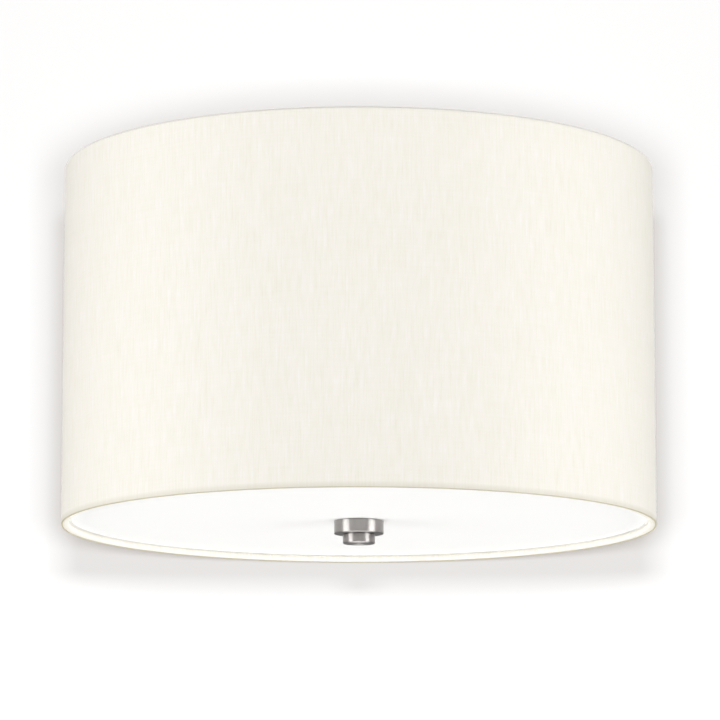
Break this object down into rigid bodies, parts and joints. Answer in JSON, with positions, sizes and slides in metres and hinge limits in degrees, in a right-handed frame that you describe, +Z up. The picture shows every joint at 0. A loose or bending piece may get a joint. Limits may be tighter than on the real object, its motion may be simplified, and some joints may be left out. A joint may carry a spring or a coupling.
{
  "type": "flush mount ceiling light",
  "caption": "Round flush ceiling light: fabric drum shade over a flat opal diffuser, held on a central rod by a stepped metal finial, with screw-in lamps inside.",
  "frame": {"origin": "centre of the fixture on the ceiling's surface, midway between the crossbar's two screw slots", "axes": "+Z up into the ceiling, +X along the crossbar and the lamp bracket, -Y towards the viewer of the picture"},
  "size_m": [0.381, 0.381, 0.2555],
  "materials": {
    "shade_fabric": "fine slubbed weave, matte",
    "shade_liner": "smooth matte sheet",
    "shade_wire": "satin white",
    "zinc_steel": "zinc plated, satin",
    "green_screw": "satin",
    "bare_copper": "drawn copper wire",
    "canopy_paint": "satin white",
    "nylon": "matte",
    "connector_plastic": "matte, ribbed",
    "opal_acrylic": "opal, soft gloss",
    "washer_rubber": "matte",
    "brushed_nickel": "turned and brushed nickel",
    "phenolic": "moulded, satin",
    "shell_brass": "rolled sheet",
    "lead_black": "extruded sleeve",
    "lead_white": "extruded sleeve",
    "lamp_base_metal": "rolled thread",
    "lamp_insulator": "glossy",
    "lamp_collar": "moulded, satin",
    "lamp_dome": "frosted diffuser"
  },
  "bodies": {
    "fixture": {"shade_fabric": "shade_fabric", "shade_top_hem": "shade_fabric", "shade_bottom_hem": "shade_fabric", "shade_liner": "shade_liner", "top_wire_ring": "shade_wire", "bottom_wire_ring": "shade_wire", "spider_arm_1": "shade_wire", "spider_arm_2": "shade_wire", "spider_arm_3": "shade_wire", "spider_hub": "shade_wire", "crossbar": "zinc_steel", "ground_screw": "green_screw", "ground_lead": "bare_copper", "canopy_pan": "canopy_paint", "lead_bushings": "nylon", "centre_rod": "zinc_steel", "hex_nuts": "zinc_steel", "hub_lock_washer": "zinc_steel", "socket_bracket": "zinc_steel", "socket_nipples": "zinc_steel", "stop_washer": "zinc_steel", "black_wire_connector": "connector_plastic", "white_wire_connector": "connector_plastic", "left_socket": "phenolic", "left_screw_shell": "shell_brass", "left_socket_contact": "shell_brass", "left_black_lead": "lead_black", "left_white_lead": "lead_white", "right_socket": "phenolic", "right_screw_shell": "shell_brass", "right_socket_contact": "shell_brass", "right_black_lead": "lead_black", "right_white_lead": "lead_white"},
    "lowered_diffuser": {"diffuser_disc": "opal_acrylic", "rubber_washer": "washer_rubber", "finial_flange": "brushed_nickel"},
    "finial": {"finial_knob": "brushed_nickel"},
    "left_lamp_tip": {"left_lamp_tip_contact": "lamp_base_metal"},
    "left_lamp": {"left_lamp_screw_base": "lamp_base_metal", "left_lamp_insulator": "lamp_insulator", "left_lamp_collar": "lamp_collar", "left_lamp_dome": "lamp_dome"},
    "right_lamp_tip": {"right_lamp_tip_contact": "lamp_base_metal"},
    "right_lamp": {"right_lamp_screw_base": "lamp_base_metal", "right_lamp_insulator": "lamp_insulator", "right_lamp_collar": "lamp_collar", "right_lamp_dome": "lamp_dome"}
  },
  "joints": [
    {"name": "diffuser_lower", "type": "slide", "parent": "fixture", "child": "lowered_diffuser", "axis": [0, 0, -1], "range_m": [0, 0.0047]},
    {"name": "finial_turn", "type": "hinge", "parent": "lowered_diffuser", "child": "finial", "pos_m": [0, 0, -0.2523], "axis": [0, 0, -1], "range_deg": [0, 1800]},
    {"name": "left_lamp_lower", "type": "slide", "parent": "fixture", "child": "left_lamp_tip", "axis": [0, 0, -1], "range_m": [0, 0.01814]},
    {"name": "left_lamp_turn", "type": "hinge", "parent": "left_lamp_tip", "child": "left_lamp", "pos_m": [-0.052, 0, -0.09], "axis": [0, 0, -1], "range_deg": [0, 1800]},
    {"name": "right_lamp_lower", "type": "slide", "parent": "fixture", "child": "right_lamp_tip", "axis": [0, 0, -1], "range_m": [0, 0.01814]},
    {"name": "right_lamp_turn", "type": "hinge", "parent": "right_lamp_tip", "child": "right_lamp", "pos_m": [0.052, 0, -0.09], "axis": [0, 0, -1], "range_deg": [0, 1800]}
  ],
  "couplings": [
    {"joint": "finial_turn", "follows": "diffuser_lower", "rad_per_m": 6677.1},
    {"joint": "left_lamp_turn", "follows": "left_lamp_lower", "rad_per_m": 1731.4},
    {"joint": "right_lamp_turn", "follows": "right_lamp_lower", "rad_per_m": 1731.4}
  ]
}
